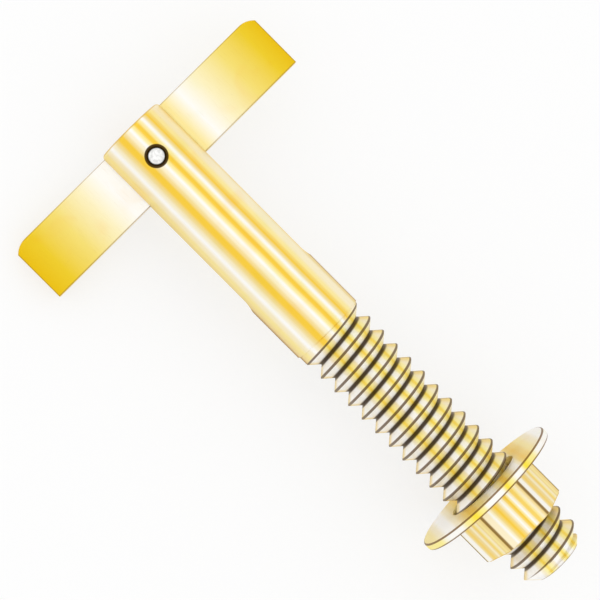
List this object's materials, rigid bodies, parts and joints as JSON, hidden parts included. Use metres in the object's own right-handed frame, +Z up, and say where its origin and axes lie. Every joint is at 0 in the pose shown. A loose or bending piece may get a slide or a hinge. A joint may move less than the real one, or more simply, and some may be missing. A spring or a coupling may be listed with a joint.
{
  "type": "spring toggle bolt",
  "caption": "Slotted, threaded stud with a cross bar that folds into it on a sprung pivot, a flat washer and a hexagon nut, lying at rest.",
  "frame": {"origin": "on the ground under the middle of the lying bolt", "axes": "+Z up; +X along the bolt, seen from above, from the toggle bar to the nut (the stud itself slopes up by 4.87 degrees towards the nut); +Y along the cross bar, seen from above (the whole bolt is rolled by 10.29 degrees about the stud, so that the bar's -Y end touches the ground)"},
  "size_m": [0.0766, 0.0412, 0.0208],
  "materials": {
    "yellow_zinc": "bright yellow zinc plate",
    "yellow_zinc_bar": "yellow zinc plate on a flat bar",
    "bright_pin": "bright riveted steel",
    "spring_steel": "drawn spring wire"
  },
  "bodies": {
    "stud": {"stud": "yellow_zinc", "pivot_pin": "bright_pin", "torsion_spring": "spring_steel"},
    "toggle_bar": {"toggle_bar": "yellow_zinc_bar"},
    "washer": {"washer": "yellow_zinc"},
    "nut": {"hex_nut": "yellow_zinc"}
  },
  "joints": [
    {"name": "toggle_pivot", "type": "hinge", "parent": "stud", "child": "toggle_bar", "pos_m": [-0.03313, 0, 0.00544], "axis": [-0.0834, -0.1786, 0.9804], "range_deg": [-90, 90], "stiffness_Nm_per_rad": 0.019, "deforming": ["torsion_spring"]},
    {"name": "washer_slide", "type": "slide", "parent": "stud", "child": "washer", "axis": [-0.9964, 0, -0.0848], "range_m": [-0.00605, 0.02662]},
    {"name": "nut_spin", "type": "hinge", "parent": "washer", "child": "nut", "pos_m": [0.02556, 0, 0.01044], "axis": [-0.9964, 0, -0.0848], "range_deg": [-903, 3963]}
  ],
  "couplings": [
    {"joint": "nut_spin", "follows": "washer_slide", "rad_per_m": 2596.4}
  ]
}
